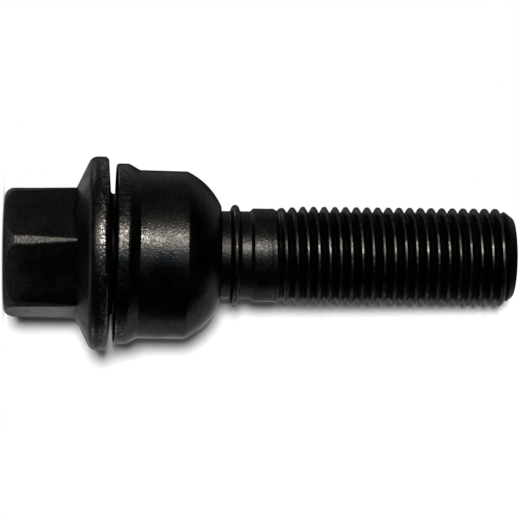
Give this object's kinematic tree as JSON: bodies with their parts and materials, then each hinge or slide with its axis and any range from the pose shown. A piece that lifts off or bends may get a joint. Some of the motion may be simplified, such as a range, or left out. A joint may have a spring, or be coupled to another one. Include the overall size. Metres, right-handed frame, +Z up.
{
  "type": "wheel bolt",
  "caption": "Black coated wheel bolt with a hexagon head, a conical flange, a loose ball-seat ring held by a rolled bead, and a metric thread.",
  "frame": {"origin": "centre of the head's end face, which the bolt stands on", "axes": "+Z up the bolt's axis from the head to the tip; +X through a corner of the hexagon"},
  "size_m": [0.027, 0.027, 0.071],
  "materials": {
    "bolt_coating": "black zinc-flake coating, satin and finely granular",
    "ring_coating": "black zinc-flake coating, satin and finely granular"
  },
  "bodies": {
    "bolt": {"bolt": "bolt_coating"},
    "seat_ring": {"seat_ring": "ring_coating"}
  },
  "joints": [
    {"name": "ring_spin", "type": "hinge", "parent": "bolt", "child": "seat_ring", "pos_m": [0, 0, 0.0178], "axis": [0, 0, 1], "continuous": true}
  ]
}
